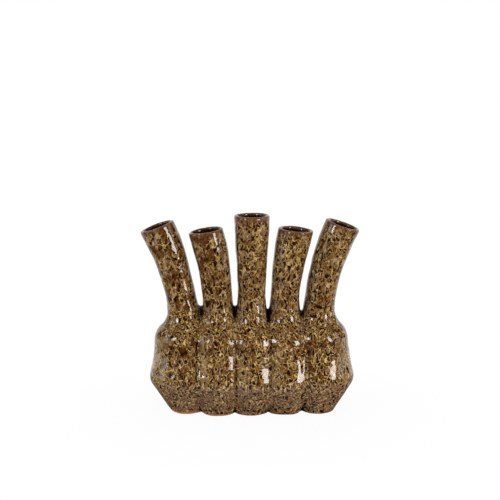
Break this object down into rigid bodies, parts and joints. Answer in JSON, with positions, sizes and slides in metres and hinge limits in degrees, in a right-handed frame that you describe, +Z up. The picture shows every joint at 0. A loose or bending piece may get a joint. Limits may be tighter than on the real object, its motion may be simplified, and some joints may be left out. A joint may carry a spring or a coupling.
{
  "type": "flower vase",
  "caption": "Pottery flower vase: a row of bottle-shaped lobes luted side by side over one water chamber, each with a flared, hand-bent neck.",
  "frame": {"origin": "centre of the middle lobe's flat foot, on the table", "axes": "+X along the row of lobes towards the viewer's right, +Y away from the viewer, +Z up through the middle neck"},
  "size_m": [0.2805, 0.1077, 0.2605],
  "materials": {
    "lobe_glaze": "glossy mottled brown glaze over red-brown clay, bare clay at the foot",
    "neck_glaze": "glossy mottled brown glaze, rust brown below the lip"
  },
  "bodies": {
    "root": {"lobe_far_left": "lobe_glaze", "lobe_left": "lobe_glaze", "lobe_middle": "lobe_glaze", "lobe_right": "lobe_glaze", "lobe_far_right": "lobe_glaze", "neck_far_left": "neck_glaze", "neck_left": "neck_glaze", "neck_middle": "neck_glaze", "neck_right": "neck_glaze", "neck_far_right": "neck_glaze"}
  },
  "joints": []
}
